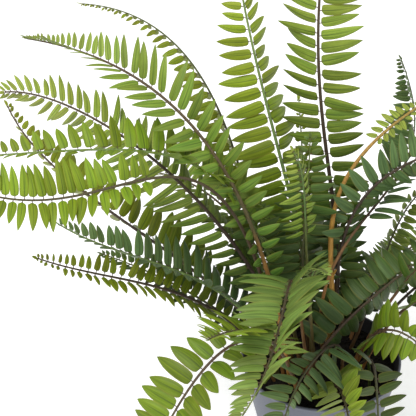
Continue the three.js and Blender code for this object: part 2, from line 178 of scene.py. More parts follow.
def potFinish():
    finish, tree, shader = newFinish("slateGreyPlastic")
    spot = addNode(tree, "ShaderNodeTexCoord").outputs["Object"]
    cloudy = noise(tree, spot, 18, 4)
    tone = ramp(tree, cloudy, [(0.3, pot["darkColour"]), (0.5, pot["colour"]), (0.72, pot["paleColour"])])
    grain = noise(tree, spot, 900, 2)
    speck = rescale(tree, noise(tree, spot, 1500, 1), 0.66, 0.74, 0, 0.35)
    tone = mixColour(tree, speck, tone, pot["speckColour"])
    # Painted shade darkens the inside of the wall
    parts = addNode(tree, "ShaderNodeSeparateXYZ", {0: spot})
    x, y, z = (parts.outputs[axis] for axis in "XYZ")
    reach = sums(tree, "SQRT", sums(tree, "MULTIPLY_ADD", x, x, sums(tree, "MULTIPLY", y, y)))
    slope = (pot["rimRadius"] - pot["footRadius"]) / pot["height"]
    wallLine = sums(tree, "MULTIPLY_ADD", z, slope, pot["footRadius"])
    inside = rescale(tree, sums(tree, "SUBTRACT", wallLine, reach), 1.6 * mm, 2.6 * mm, 0, pot["insideShade"])
    tone = mixColour(tree, inside, tone, pot["insideShadeColour"])
    roughness = rescale(tree, cloudy, 0.3, 0.7, pot["roughness"] - 0.06, pot["roughness"] + 0.1)
    dress(tree, shader, tone, roughness, pot["specular"], grain, 0.12, 0.4 * mm)
    return finish


def makePot():
    h, r = pot["height"], pot["rimRound"]
    foot, outerTop, innerTop = pot["footRound"], h - 8 * mm, h - 4 * mm
    profile = [(0, 0), (20 * mm, 0), (pot["footRadius"] - 2 * foot, 0)]
    for k in range(1, 5):
        turn = math.radians(90 * k / 4)
        profile.append((potWall(foot) - foot + foot * math.sin(turn), foot - foot * math.cos(turn)))
    for k in range(1, 7):
        z = foot + (outerTop - foot) * k / 6
        profile.append((potWall(z), z))
    # A faint swell under the rim, then the rolled rim itself
    profile.append((potWall(h - 5 * mm), h - 5 * mm))
    profile.append((potWall(h - r), h - r - 0.3 * mm))
    for k in range(0, 9):
        turn = math.radians(180 * k / 8)
        profile.append((potWall(h) - r + r * math.cos(turn), h - r + r * math.sin(turn)))
    for k in range(1, 7):
        z = innerTop - (innerTop - pot["floor"]) * k / 6
        profile.append((potWall(z) - pot["wall"], z))
    profile += [(20 * mm, pot["floor"]), (0, pot["floor"])]
    points, faces = turnedRings(profile, pot["segments"])
    piece = makePiece("potShell", points, faces, potFinish(), sharpAngle=40)
    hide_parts("pot")
    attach(piece, "root")
    print("pot made")


# The soil

soil = {
    "top": 126 * mm, "mound": 3 * mm, "bottom": 5.4 * mm, "gap": 0.4 * mm,
    "rings": 34, "segments": 140, "roughness": 1.6 * mm,
    "clods": ((26 * mm, 1.0), (13 * mm, 0.7), (6.5 * mm, 0.5), (3.4 * mm, 0.32)),    # size and height
    "crumbs": 1500, "crumbSize": (0.8 * mm, 2.6 * mm),
    "slivers": 130, "sliverLength": (5 * mm, 13 * mm), "seed": 11,
    "dark": "080605", "middle": "15100b", "warm": "251b13", "light": "33241a",
}


def soilFinish():
    finish, tree, shader = newFinish("pottingSoil")
    spot = addNode(tree, "ShaderNodeTexCoord").outputs["Object"]
    fine = noise(tree, spot, 420, 5, 0.7)
    tone = ramp(tree, fine, [(0.36, soil["dark"]), (0.56, soil["middle"]), (0.76, soil["warm"])])
    pale = rescale(tree, vertexValue(tree, "crumbKind"), 0.7, 1.0, 0, 0.6)
    tone = mixColour(tree, pale, tone, soil["light"])
    roughness = rescale(tree, fine, 0.3, 0.7, 0.97, 0.8)
    dress(tree, shader, tone, roughness, 0.2, noise(tree, spot, 900, 4, 0.7), 0.7, 0.6 * mm)
    return finish


def soilHeight(x, y):
    # Layered waves stand in for clods, with the mound highest in the middle
    reach = potWall(soil["top"]) - pot["wall"]
    share = min(1.0, math.hypot(x, y) / reach)
    bumps = 0.0
    for k, (step, strength) in enumerate(soil["clods"]):
        a, b = x / step + 1.7 * k, y / step - 2.3 * k
        bumps += strength * math.sin(2.1 * a + 1.3 * math.sin(b)) * math.cos(1.9 * b + 1.1 * math.sin(a))
    return soil["top"] + soil["mound"] * (1 - share ** 2) + soil["roughness"] * 0.55 * bumps


lumpCorners = [(x, y, z) for z in (-1, 1) for x, y in ((-1, -1), (1, -1), (1, 1), (-1, 1))]


def crumb(rng, points, faces, kinds, centre, size, stretch, kind):
    # One rough lump: an eight-cornered block with its corners pushed about
    turn, tip = rng.uniform(0, 2 * math.pi), rng.uniform(-0.4, 0.4)
    first = len(points)
    c, s = math.cos(turn), math.sin(turn)
    for x, y, z in lumpCorners:
        px = x * size * stretch * rng.uniform(0.55, 0.95)
        py = y * size * rng.uniform(0.55, 0.95)
        pz = z * size * rng.uniform(0.4, 0.8) + tip * px
        points.append((centre[0] + c * px - s * py, centre[1] + s * px + c * py, centre[2] + pz))
        kinds.append(kind)
    for face in ((0, 3, 2, 1), (4, 5, 6, 7), (0, 1, 5, 4), (1, 2, 6, 5), (2, 3, 7, 6), (3, 0, 4, 7)):
        faces.append(tuple(first + k for k in face))


def makeSoil():
    rng = random.Random(soil["seed"])
    segments = soil["segments"]

    def side(z):
        return potWall(z) - pot["wall"] - soil["gap"]

    profile = [(0, soil["bottom"]), (side(soil["bottom"]), soil["bottom"])]
    for k in range(1, 9):
        z = soil["bottom"] + (soil["top"] - soil["bottom"]) * k / 8
        profile.append((side(z), z))
    for k in range(1, soil["rings"]):
        profile.append((side(soil["top"]) * (1 - k / soil["rings"]), soil["top"]))
    profile.append((0, soil["top"]))
    points, faces = turnedRings(profile, segments)
    topStart = 1 + (len(profile) - 2 - (soil["rings"] - 1)) * segments
    for k in range(topStart, len(points)):
        x, y, _ = points[k]
        points[k] = (x, y, soilHeight(x, y))
    kinds = [0.2] * len(points)
    reach = side(soil["top"])
    for _ in range(soil["crumbs"]):
        size = rng.uniform(*soil["crumbSize"]) * rng.uniform(0.5, 1)
        r, turn = (reach - 3 * mm) * math.sqrt(rng.random()), rng.uniform(0, 2 * math.pi)
        x, y = r * math.cos(turn), r * math.sin(turn)
        crumb(rng, points, faces, kinds, (x, y, soilHeight(x, y) + size * rng.uniform(-0.3, 0.35)),
              size, rng.uniform(0.9, 1.5), rng.random() ** 2)
    for _ in range(soil["slivers"]):
        length = rng.uniform(*soil["sliverLength"])
        r, turn = (reach - 9 * mm) * math.sqrt(rng.random()), rng.uniform(0, 2 * math.pi)
        x, y = r * math.cos(turn), r * math.sin(turn)
        thick = rng.uniform(0.35, 0.9) * mm
        crumb(rng, points, faces, kinds, (x, y, soilHeight(x, y) + 1.2 * thick),
              thick, length / thick / 2, rng.uniform(0.6, 1))
    piece = makePiece("soilBed", points, faces, soilFinish(), sharpAngle=35)
    giveValues(piece, "crumbKind", kinds)
    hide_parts("soil")
    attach(piece, "root")
    print("soil made,", len(faces), "faces")


# The fronds

# Each frond is a cubic curve in millimetres: its root in the soil, two handles and its tip.
# leaflet is the longest blade, pairs how many pairs there are, bare the share of stalk without any.
# foot is the lowest blade's share of the longest one, grow how fast they lengthen above it, slim how
# fast they shorten towards the tip, crowd how much closer they stand there.
# wide sets a blade's width by the room it has on the stalk, broad is the most it may be of its length,
# flare widens the lowest ones, oval rounds their outline.
# roll turns the rows of blades about the stalk and twist adds to it along the stalk, fold lifts both
# rows, sweep leans them forward, hug lays one of them along the stalk, turn tips each blade.
# heading stands in for the way a frond runs where its rows don't lie level across that.
# shade is how much painted shade darkens them in the middle of the plant. thick makes a stalk thicker
# than the others, darkFrom is the share of it where its upper colours begin, stubs are cut-off shoots:
# share, turn, lean.
# Angles are in degrees, and whatever a row leaves out is as on most fronds.
fronds = [
    {"name": "frond_01", "leaf": "springGreen", "stalk": "tanFoot", "thick": 1.3, "shade": 0.0,
     "root": (-30, -26), "rise": (-60, -40, 335), "arch": (-105, -10, 480), "tip": (-290, 110, 440),
     "leaflet": 43, "pairs": 42, "bare": 0.27, "foot": 0.42, "grow": 1.1, "crowd": 1.9, "flare": 0.9,
     "broad": 0.17, "oval": 0.4,
     "roll": -128, "twist": -54, "fold": 34, "sweep": 18, "heading": -101},
    {"name": "frond_02", "leaf": "midGreen", "stalk": "darkBrown", "thick": 1.3,
     "root": (-24, -4), "rise": (-74, -58, 386), "arch": (-254, 68, 423), "tip": (-308, 47, 416),
     "leaflet": 46, "pairs": 34, "bare": 0.3, "foot": 0.5, "slim": 0.6, "wide": 0.78,
     "roll": -4, "twist": -66, "fold": -43, "sweep": 11},
    {"name": "frond_03", "leaf": "freshGreen", "stalk": "green", "thick": 1.15,
     "root": (-16, 6), "rise": (-85, 10, 420), "arch": (-125, -30, 410), "tip": (-350, -30, 395),
     "leaflet": 35, "pairs": 31, "bare": 0.3, "wide": 1.1,
     "fold": 29, "sweep": 2},
    {"name": "frond_04", "leaf": "freshGreen", "stalk": "umber", "thick": 1.2, "darkFrom": 0.3,
     "root": (-36, -18), "rise": (-103, -41, 580), "arch": (-191, -77, 288), "tip": (-348, -98, 430),
     "leaflet": 33, "pairs": 25, "bare": 0.62, "foot": 0.62, "slim": 0.55, "wide": 1.1, "oval": 0.3,
     "roll": 5, "twist": -53, "fold": 26, "sweep": 0},
    {"name": "frond_05", "leaf": "olive", "stalk": "darkBrown", "thick": 1.2,
     "root": (-34, 4), "rise": (-85, 10, 250), "arch": (-275, 60, 285), "tip": (-315, 140, 355),
     "leaflet": 38, "pairs": 27, "bare": 0.3, "oval": 0.9,
     "roll": -44, "twist": 17, "fold": -60, "sweep": 7, "heading": 93},
    {"name": "frond_06", "leaf": "tealGreen", "stalk": "green", "thick": 1.25,
     "root": (-42, -10), "rise": (-70, -30, 285), "arch": (-185, -20, 260), "tip": (-255, -20, 320),
     "leaflet": 38, "pairs": 25, "bare": 0.22,
     "roll": 5, "fold": 28, "sweep": 6},
    {"name": "frond_07", "leaf": "olive", "stalk": "darkBrown", "thick": 1.15,
     "root": (-44, -22), "rise": (-95, -15, 260), "arch": (-195, -40, 255), "tip": (-270, -80, 325),
     "leaflet": 24, "pairs": 27, "bare": 0.25, "wide": 1.1,
     "roll": -3, "twist": -29, "fold": 24, "sweep": -26},
    {"name": "frond_08", "leaf": "deepGreen", "stalk": "dark",
     "root": (-38, 14), "rise": (-90, 20, 180), "arch": (-150, 40, 210), "tip": (-225, 60, 225),
     "leaflet": 30, "pairs": 21, "bare": 0.25,
     "fold": 15, "sweep": 10},
    {"name": "frond_09", "leaf": "freshGreen", "stalk": "brown", "shade": 0.0,
     "root": (-20, -33), "rise": (-85, -80, 335), "arch": (-150, -165, 205), "tip": (-195, -150, 65),
     "leaflet": 40, "pairs": 20, "bare": 0.34, "foot": 0.45, "grow": 1.9, "wide": 1.15, "broad": 0.4,
     "oval": 0.6,
     "roll": -8, "fold": 18, "sweep": -2},
    {"name": "frond_10", "leaf": "paleGreen", "stalk": "umber", "shade": 0.0,
     "root": (-11, -33), "rise": (-49, -11, 388), "arch": (-28, -131, 260), "tip": (-93, -240, 268),
     "leaflet": 43, "pairs": 26, "bare": 0.34, "wide": 1.35, "oval": 0.2,
     "roll": -28, "twist": 74, "fold": 29, "sweep": 10, "heading": -84, "hug": -70},
    {"name": "frond_11", "leaf": "freshGreen", "stalk": "umber", "shade": 0.0,
     "root": (-24, -48), "rise": (-40, -75, 250), "arch": (-90, -120, 280), "tip": (-115, -215, 340),
     "leaflet": 38, "pairs": 17, "bare": 0.3,
     "fold": 20, "sweep": 12},
    {"name": "frond_12", "leaf": "limeGreen", "stalk": "green", "thick": 1.3, "shade": 1.0,
     "root": (-9, 1), "rise": (-5, 30, 265), "arch": (-65, 70, 370), "tip": (-90, 110, 540),
     "leaflet": 45, "pairs": 27, "bare": 0.24, "foot": 1, "wide": 0.88, "flare": 0.5, "broad": 0.3,
     "oval": 0.3,
     "roll": -7, "twist": 4, "fold": -37, "sweep": -15, "heading": 119},
    {"name": "frond_13", "leaf": "limeGreen", "stalk": "green",
     "root": (-6, 40), "rise": (-15, 60, 240), "arch": (-20, 90, 325), "tip": (-25, 120, 375),
     "leaflet": 9, "pairs": 20, "bare": 0.45,
     "fold": 15, "sweep": 10, "heading": 95},
    {"name": "frond_14", "leaf": "midGreen", "stalk": "darkBrown", "thick": 1.35,
     "root": (10, 35), "rise": (40, 52, 290), "arch": (-44, 74, 380), "tip": (3, 100, 620),
     "leaflet": 46, "pairs": 33, "bare": 0.2, "foot": 0.65, "grow": 0.5, "slim": 0.4, "wide": 0.92,
     "broad": 0.3, "oval": 0.1,
     "roll": -9, "twist": -50, "fold": -7, "sweep": 0, "heading": 102},
    {"name": "frond_15", "leaf": "olive", "stalk": "dark",
     "root": (-22, 18), "rise": (-85, 50, 240), "arch": (-65, 120, 465), "tip": (-245, 200, 430),
     "leaflet": 27, "pairs": 36, "bare": 0.2, "foot": 1, "slim": 1.7, "wide": 1.1, "oval": 0.7,
     "roll": 15, "fold": -50, "sweep": 6},
    {"name": "frond_16", "leaf": "springGreen", "stalk": "green", "shade": 0.65,
     "root": (-4, -12), "rise": (-31, -20, 322), "arch": (-19, -42, 393), "tip": (-43, -34, 412),
     "leaflet": 25, "pairs": 15, "bare": 0.64, "foot": 1, "slim": 1, "wide": 0.6,
     "twist": 108, "fold": -36, "sweep": -30, "heading": 40},
    {"name": "frond_17", "leaf": "midGreen", "stalk": "tan", "thick": 2.0,
     "root": (0, -5), "rise": (32, 7, 252), "arch": (-53, -15, 341), "tip": (91, 66, 396),
     "leaflet": 18, "pairs": 9, "bare": 0.82,
     "fold": 15, "sweep": -20, "heading": 20,
     "stubs": ((0.36, 150, 25), (0.33, 20, 35))},
    {"name": "frond_18", "leaf": "tealGreen", "stalk": "umber", "shade": 0.4,
     "root": (6, 25), "rise": (-46, -98, 403), "arch": (155, 162, 210), "tip": (74, 146, 403),
     "leaflet": 38, "pairs": 27, "bare": 0.5, "foot": 0.9, "slim": 1.4,
     "roll": -69, "twist": -35, "fold": 60, "sweep": -9, "heading": 151},
    {"name": "frond_19", "leaf": "tealGreen", "stalk": "darkBrown", "thick": 1.2, "shade": 0.4,
     "root": (4, 5), "rise": (29, 25, 237), "arch": (-39, -24, 394), "tip": (190, 86, 344),
     "leaflet": 34, "pairs": 26, "bare": 0.32,
     "roll": 12, "twist": 8, "fold": -14, "sweep": 7, "heading": 109},
    {"name": "frond_20", "leaf": "midGreen", "stalk": "dark",
     "root": (28, 24), "rise": (62, 38, 192), "arch": (63, 78, 289), "tip": (126, 88, 296),
     "leaflet": 21, "pairs": 22, "bare": 0.26,
     "roll": 8, "twist": 21, "fold": -17, "sweep": 0, "heading": -6},
    {"name": "frond_21", "leaf": "deepGreen", "stalk": "umber", "shade": 0.4,
     "root": (-12, -46), "rise": (-40, -60, 188), "arch": (48, -8, 228), "tip": (148, 70, 254),
     "leaflet": 38, "pairs": 20, "bare": 0.26, "foot": 1, "wide": 1.35,
     "roll": 64, "twist": -20, "fold": -44, "sweep": 0, "heading": 50},
    {"name": "frond_22", "leaf": "freshGreen", "stalk": "brown", "shade": 0.3,
     "root": (28, -6), "rise": (40, -17, 194), "arch": (62, -42, 238), "tip": (109, -75, 185),
     "leaflet": 29, "pairs": 12, "bare": 0.35, "wide": 1.6, "broad": 0.55,
     "roll": 20, "twist": 71, "fold": 17, "sweep": -4, "heading": -77, "turn": 2},
    {"name": "frond_23", "leaf": "limeGreen", "stalk": "umber", "shade": 0.3,
     "root": (14, -46), "rise": (4, -48, 175), "arch": (18, -85, 165), "tip": (19, -135, 159),
     "leaflet": 30, "pairs": 10, "bare": 0.25, "foot": 1, "wide": 1.3, "broad": 0.45,
     "roll": 120, "twist": -120, "fold": 15, "sweep": -13, "heading": -143, "turn": -60},
    {"name": "frond_24", "leaf": "darkOlive", "stalk": "dark", "shade": 0.5,
     "root": (24, -18), "rise": (56, -24, 195), "arch": (42, -74, 192), "tip": (58, -88, 60),
     "leaflet": 34, "pairs": 12, "bare": 0.25, "foot": 1, "wide": 0.8,
     "roll": -76, "twist": 20, "fold": 9, "sweep": -10, "heading": -122},
    {"name": "frond_25", "leaf": "tealGreen", "stalk": "dark", "shade": 0.3,
     "root": (14, -33), "rise": (36, -26, 245), "arch": (-42, -85, 195), "tip": (-46, -128, 140),
     "leaflet": 40, "pairs": 14, "bare": 0.38, "foot": 1,
     "roll": 53, "twist": -78, "fold": -51, "sweep": -10, "heading": -79},
    {"name": "frond_26", "leaf": "deepGreen", "stalk": "dark",
     "root": (16, 44), "rise": (38, 72, 165), "arch": (60, 105, 180), "tip": (85, 150, 140),
     "leaflet": 34, "pairs": 15, "bare": 0.25,
     "fold": 18, "sweep": 8},
    {"name": "frond_27", "leaf": "paleGreen", "stalk": "green",
     "root": (-6, -22), "rise": (-15, -25, 230), "arch": (-30, -60, 320), "tip": (-5, -105, 320),
     "leaflet": 16, "pairs": 20, "bare": 0.62,
     "fold": 15, "sweep": 10, "heading": -75},
    {"name": "frond_28", "leaf": "midGreen", "stalk": "brown",
     "root": (36, 6), "rise": (80, 15, 300), "arch": (190, -20, 370), "tip": (320, -70, 330),
     "leaflet": 40, "pairs": 28, "bare": 0.28,
     "fold": 15, "sweep": 8},
    {"name": "frond_29", "leaf": "freshGreen", "stalk": "brown",
     "root": (38, -8), "rise": (85, -15, 320), "arch": (185, -110, 300), "tip": (270, -170, 180),
     "leaflet": 40, "pairs": 28, "bare": 0.28,
     "fold": 15, "sweep": 8},
    {"name": "frond_30", "leaf": "midGreen", "stalk": "dark",
     "root": (38, 16), "rise": (80, 40, 220), "arch": (200, 80, 270), "tip": (300, 110, 200),
     "leaflet": 38, "pairs": 26, "bare": 0.25,
     "fold": 15, "sweep": 8},
    {"name": "frond_31", "leaf": "deepGreen", "stalk": "dark",
     "root": (-2, 48), "rise": (0, 80, 220), "arch": (5, 170, 250), "tip": (20, 270, 160),
     "leaflet": 38, "pairs": 24, "bare": 0.25,
     "fold": 15, "sweep": 8},
    {"name": "frond_32", "leaf": "midGreen", "stalk": "brown",
     "root": (-20, 36), "rise": (-50, 80, 230), "arch": (-120, 170, 270), "tip": (-210, 250, 190),
     "leaflet": 38, "pairs": 26, "bare": 0.25,
     "fold": 15, "sweep": 8},
    {"name": "frond_33", "leaf": "midGreen", "stalk": "brown",
     "root": (30, 34), "rise": (45, 70, 175), "arch": (100, 150, 175), "tip": (165, 262, 110),
     "leaflet": 30, "pairs": 26, "bare": 0.25,
     "fold": 15, "sweep": 8},
    {"name": "frond_34", "leaf": "deepGreen", "stalk": "dark",
     "root": (-12, -15), "rise": (-66, 3, 259), "arch": (-74, 13, 318), "tip": (-85, 12, 338),
     "leaflet": 34, "pairs": 14, "bare": 0.36, "foot": 1, "wide": 1.15, "oval": 0.5,
     "fold": 8, "sweep": 4, "heading": 95},
    {"name": "frond_35", "leaf": "darkOlive", "stalk": "dark",
     "root": (9, 14), "rise": (12, 14, 200), "arch": (16, 20, 255), "tip": (12, 28, 290),
     "leaflet": 30, "pairs": 13, "bare": 0.35, "foot": 1, "wide": 1.1, "oval": 0.6,
     "fold": 14, "sweep": 4, "heading": 85},
    {"name": "frond_36", "leaf": "deepGreen", "stalk": "dark",
     "root": (-9, 18), "rise": (-30, 16, 282), "arch": (-18, 14, 263), "tip": (-20, 12, 398),
     "leaflet": 36, "pairs": 19, "bare": 0.2, "foot": 1, "wide": 1.15,
     "fold": 10, "sweep": 0, "heading": 92},
]

# Screen colours from the foot of a frond to its tip, the colour underneath, and the record's slot.
# The darker foot is partly the leaves' own colour and partly painted shade
leafFinishes = {
    "freshGreen": {
        "slot": "leaf_light", "foot": "4a6212", "middle": "738a18", "tip": "869a2c", "under": "6c802e"},
    "paleGreen": {
        "slot": "leaf_light", "foot": "445c28", "middle": "6f863a", "tip": "8a9e4c", "under": "708444"},
    "limeGreen": {
        "slot": "leaf_light", "foot": "4e620c", "middle": "7e921b", "tip": "9cac36", "under": "7e8e34"},
    "olive": {
        "slot": "leaf_light", "foot": "505e08", "middle": "75830f", "tip": "8a9522", "under": "6e7a1c"},
    "midGreen": {
        "slot": "leaf_mid", "foot": "385416", "middle": "829633", "tip": "98a443", "under": "6e843c"},
    "springGreen": {
        "slot": "leaf_mid", "foot": "466a24", "middle": "7e9436", "tip": "98a446", "under": "6a823a"},
    "deepGreen": {
        "slot": "leaf_dark", "foot": "2c421c", "middle": "4d662c", "tip": "647a3a", "under": "506239"},
    "tealGreen": {
        "slot": "leaf_dark", "foot": "2e4826", "middle": "5c7642", "tip": "748c50", "under": "5c7048"},
    "darkOlive": {
        "slot": "leaf_dark", "foot": "2e3e0e", "middle": "465a15", "tip": "5e7026", "under": "44561a"},
}

stalkFinishes = {
    "brown": {"root": "946630", "foot": "5e4630", "middle": "54402e", "tip": "5e5a34"},
    "tanFoot": {"root": "b07f3e", "foot": "ac7c3e", "middle": "5f5636", "tip": "543c2a"},
    "umber": {"root": "8c6230", "foot": "54402c", "middle": "463728", "tip": "5a5634"},
    "dark": {"root": "74542a", "foot": "3e3426", "middle": "3c3424", "tip": "5c6a30"},
    "darkBrown": {"root": "74542a", "foot": "3e3226", "middle": "3a2e24", "tip": "54462f"},
    "green": {"root": "5c5028", "foot": "5f6a34", "middle": "5f7a3e", "tip": "7f9450"},
    "tan": {"root": "a67c34", "foot": "ac8640", "middle": "a28a44", "tip": "5c7c34"},
}

blade = {
    "stem": 2.2 * mm,           # bare stem between the stalk and the blade
    "stemHalf": 0.42 * mm, "thickness": 0.34 * mm,
    "widthOfPitch": 0.94, "widthOfLength": 0.32, "leastWidth": 1.2 * mm, "oval": 0.35,
    "rise": 0.15, "droop": 0.19, "sickle": 0.06, "cup": 0.10, "groove": 0.22 * mm,
    "stagger": 0.1,             # how far each blade of a pair is shifted, as a share of the pitch
    "turnJitter": 11, "foldJitter": 6, "leanJitter": 6, "lengthJitter": 0.07,
    "widthJitter": (0.93, 1.05), "curl": (0.5, 1.6), "seed": 100,
    "taperFrom": 0.62,          # share of the leafy stretch, from the tip, where blades shorten
    "tipShare": 0.12,           # the blades at the tip, as a share of the longest
    "clear": 1.5 * mm,
    "folds": (0, 6, -6, 12, -12, 19, -19, 27, -27),     # tried one by one until a blade stands clear
}

# Share of a blade's length, then its half width there: with a square foot, and as a long oval
bladeOutline = (
    (0.0, 0.50, 0.34), (0.018, 0.84, 0.52), (0.08, 0.97, 0.75), (0.2, 1.0, 0.93),
    (0.34, 0.975, 1.0), (0.48, 0.90, 0.98), (0.62, 0.77, 0.90), (0.75, 0.59, 0.74),
    (0.86, 0.38, 0.51), (0.95, 0.17, 0.24), (1.0, 0.02, 0.03),
)
bladeColumns = (-1.0, -0.6, -0.14, 0.0, 0.14, 0.6, 1.0)

# Painted shade: how the leaflets' colour darkens around the middle of the plant
crownShade = {
    "centre": (-20 * mm, 30 * mm, 170 * mm), "start": 60 * mm, "end": 190 * mm,
    "share": 0.65, "tone": "25370f",
}

# What all the leaves share
leafSkin = {
    "rib": "3b4a1e", "tanEdge": "867c34", "stem": "54402c",
    "bladeToBlade": (0.81, 1.16), "frondToFrond": (0.94, 1.05), "hue": (0.492, 0.508),
    "roughness": (0.42, 0.56), "specular": 0.25, "relief": 0.55, "veins": 150.0,
}

stalkShape = {
    "rootHeight": 118 * mm, "wide": 2.0 * mm, "thin": 0.55 * mm, "sides": 10, "step": 6 * mm,
    "uneven": 0.05, "groove": 0.25, "fibre": "3a2a1a", "roughness": (0.5, 0.68), "specular": 0.35,
    "endLeaflet": 9 * mm, "endWidth": 3.2 * mm, "tipSweep": 40, "crowding": 1.25,
    "stubLength": 14 * mm, "stubRings": ((0.0, 1.7), (0.25, 1.55), (0.6, 1.2), (0.9, 1.1), (1.0, 0.8)),
}


class FrondCurve:
    # The line of one stalk, with the directions that its blades are set by
    def __init__(self, row):
        self.row = row
        self.knots = np.array([
            (row["root"][0], row["root"][1], stalkShape["rootHeight"] / mm),
            row["rise"], row["arch"], row["tip"]], dtype=float) * mm
        fine = np.linspace(0, 1, 801)
        points = self.point(fine)
        steps = np.linalg.norm(np.diff(points, axis=0), axis=1)
        self.lengths = np.concatenate([[0], np.cumsum(steps)])
        self.fine = fine
        self.length = self.lengths[-1]
        run = self.knots[3] - self.knots[0]
        heading = math.radians(row["heading"]) if "heading" in row else math.atan2(run[1], run[0])
        self.level = np.array([-math.sin(heading), math.cos(heading), 0.0])

    def point(self, t):
        t = np.asarray(t)[..., None]
        a, b, c, d = self.knots
        return (1 - t) ** 3 * a + 3 * (1 - t) ** 2 * t * b + 3 * (1 - t) * t ** 2 * c + t ** 3 * d

    def frame(self, share):
        # Where the stalk is at this share of its length, the way it runs, its side and its face
        t = float(np.interp(share * self.length, self.lengths, self.fine))
        a, b, c, d = self.knots
        along = (1 - t) ** 2 * (b - a) + 2 * (1 - t) * t * (c - b) + t ** 2 * (d - c)
        along = along / np.linalg.norm(along)
        side = self.level - along * np.dot(along, self.level)
        side = side / np.linalg.norm(side)
        turn = math.radians(self.row.get("roll", 0) + self.row.get("twist", 0) * share)
        side = side * math.cos(turn) + np.cross(along, side) * math.sin(turn)
        return self.point(t), along, side, np.cross(along, side)

    def halfWidth(self, share):
        wide, thin = stalkShape["wide"], stalkShape["thin"]
        return (wide + (thin - wide) * share) * self.row.get("thick", 1.0)

    def station(self, i):
        bare = self.row["bare"]
        last = 1 - stalkShape["endLeaflet"] * 0.8 / self.length
        crowd = self.row.get("crowd", stalkShape["crowding"])
        return bare + (last - bare) * (1 - (1 - i / self.row["pairs"]) ** crowd)

    def leafletLength(self, share):
        row = self.row
        taper = math.sin(math.pi / 2 * min(1.0, (1 - share) / blade["taperFrom"])) ** row.get("slim", 1)
        grown = min(1.0, row.get("foot", 0.7) + row.get("grow", 1.3) * share)
        return row["leaflet"] * mm * grown * (blade["tipShare"] + (1 - blade["tipShare"]) * taper)


class Thicket:
    # What stands where, in small cells of space, so that a blade can be folded clear of it
    def __init__(self):
        self.cell = 4 * mm
        self.cells = {}

    def key(self, p):
        return (math.floor(p[0] / self.cell), math.floor(p[1] / self.cell), math.floor(p[2] / self.cell))

    def add(self, points, owner, reach):
        for p in points:
            self.cells.setdefault(self.key(p), []).append((p[0], p[1], p[2], owner, reach * reach))

    def crossings(self, points, owner):
        count = 0
        for p in points:
            i, j, k = self.key(p)
            hit = False
            for cell in ((i + a, j + b, k + c) for a in (-1, 0, 1) for b in (-1, 0, 1) for c in (-1, 0, 1)):
                for x, y, z, other, reach in self.cells.get(cell, ()):
                    if other != owner and (x - p[0]) ** 2 + (y - p[1]) ** 2 + (z - p[2]) ** 2 < reach:
                        hit = True
                        break
                if hit:
                    count += 1
                    break
        return count


thicket = Thicket()


def insidePot(p):
    # Whether a point is near the ground, in the pot's wall or in the soil
    radius, z, room = math.hypot(p[0], p[1]), p[2], 2 * mm
    if z < 8 * mm:
        return True
    if z > pot["height"] + room or radius > potWall(z) + room:
        return False
    return radius > potWall(z) - pot["wall"] - room or z < soil["top"] + soil["mound"] + 1 * mm


def seatOf(curve, share, leafyShare, sign, extraFold, extraLean, turn):
    # Where a blade leaves the stalk, the way it runs, the way across it and the way it faces
    row = curve.row
    at, along, side, face = curve.frame(share)
    fold = math.radians(row["fold"] + extraFold)
    hug = row.get("hug", 0) * leafyShare if sign > 0 else 0
    sweep = row["sweep"] + (stalkShape["tipSweep"] - row["sweep"]) * leafyShare ** 3
    lean = math.radians(sweep + extraLean + hug)
    out = side * sign * math.cos(fold) + face * math.sin(fold)
    out = out * math.cos(lean) + along * math.sin(lean)
    across = along - out * np.dot(along, out)
    across = across / np.linalg.norm(across)
    above = face - out * np.dot(face, out)
    above = above - across * np.dot(above, across)
    above = above / np.linalg.norm(above)
    # A small turn about the blade's own length
    tilt = math.radians(turn) * sign
    across, above = (across * math.cos(tilt) + above * math.sin(tilt),
                     above * math.cos(tilt) - across * math.sin(tilt))
    start = at + side * sign * curve.halfWidth(share) * 0.5
    return start, out, across, above


def bladeGrid(seat, length, width, curl, oval):
    # The middle surface of one blade with its stem, as rows of points from the stalk to the tip
    start, out, across, above = seat
    stem = min(blade["stem"], 0.14 * length)
    rows = [(-0.5 * mm, blade["stemHalf"], 0.0, True), (stem, blade["stemHalf"], 0.0, True)]
    for share, square, rounded in bladeOutline:
        half = (square + (rounded - square) * oval) * width / 2
        rows.append((stem + 0.5 * mm + share * (length - stem - 0.5 * mm), half, share, False))
    grid = np.zeros((len(rows), len(bladeColumns), 3))
    for i, (reach, half, share, isStem) in enumerate(rows):
        lift = (blade["rise"] * share - blade["droop"] * curl * share ** 2) * length
        sickle = blade["sickle"] * share ** 2 * length
        for j, c in enumerate(bladeColumns):
            # The foot is a little wider on the side of the frond's tip
            ear = 1.0 + (0.1 if c > 0 else -0.06) * max(0.0, 1 - share / 0.25)
            y = c * half * (1.0 if isStem else ear) + sickle
            z = lift
            if not isStem:
                z -= blade["cup"] * c * c * half * 2
                if c == 0:
                    z -= blade["groove"] * (1 - 0.7 * share)
            grid[i, j] = start + out * reach + across * y + above * z
    return grid


def bladeSolid(grid, above):
    # Two skins that meet at the blade's edge, thick at the stem and thin beyond it
    rows, columns = grid.shape[:2]
    top = grid.copy()
    under = grid.copy()
    for i in range(1, rows - 1):
        half = blade["stemHalf"] if i < 2 else blade["thickness"] / 2
        top[i, 1:-1] += above * half
        under[i, 1:-1] -= above * half
    points = list(top.reshape(-1, 3))
    underIds = np.arange(rows * columns).reshape(rows, columns).copy()
    for i in range(1, rows - 1):
        for j in range(1, columns - 1):
            underIds[i, j] = len(points)
            points.append(under[i, j])
    return points, underIds


def bladeFaces(rows, columns, underIds):
    faces = []
    for i in range(rows - 1):
        for j in range(columns - 1):
            a = i * columns + j
            faces.append((a, a + columns, a + columns + 1, a + 1))
            faces.append((underIds[i, j], underIds[i, j + 1], underIds[i + 1, j + 1], underIds[i + 1, j]))
    return faces


